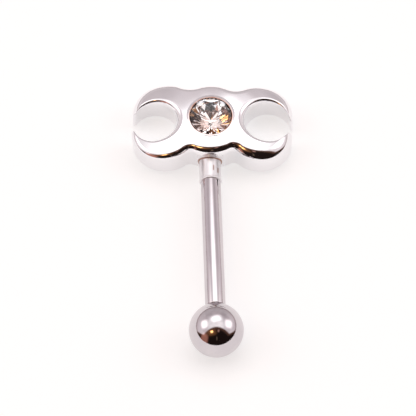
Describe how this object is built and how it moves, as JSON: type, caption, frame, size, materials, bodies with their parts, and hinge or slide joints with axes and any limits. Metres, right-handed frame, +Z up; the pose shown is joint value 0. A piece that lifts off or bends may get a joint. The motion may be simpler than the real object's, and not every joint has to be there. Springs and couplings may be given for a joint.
{
  "type": "eyebrow barbell",
  "caption": "Straight eyebrow barbell: silver double-crescent head with a round crystal, steel post and screw-on ball, lying face up.",
  "frame": {"origin": "on the surface that the barbell lies on, below the middle of the box round the whole piece", "axes": "+Z up, +Y along the post from the ball to the head, +X to the right when the stone is seen upright with the ball below it"},
  "size_m": [0.0096, 0.0177, 0.0032],
  "materials": {
    "cast_silver": "hand-polished cast silver with fine scratches and a little warm tarnish in the seat's rim",
    "cut_crystal": "clear faceted glass with a silver foil back",
    "surgical_steel": "mirror-polished stainless steel, darker and faintly pinker than the silver"
  },
  "bodies": {
    "barbell": {"crescent_head": "cast_silver", "crystal": "cut_crystal", "post": "surgical_steel"},
    "ball": {"end_ball": "surgical_steel"}
  },
  "joints": [
    {"name": "ball_off", "type": "slide", "parent": "barbell", "child": "ball", "axis": [0.0001, -0.9983, 0.0584], "range_m": [0, 0.012]}
  ]
}
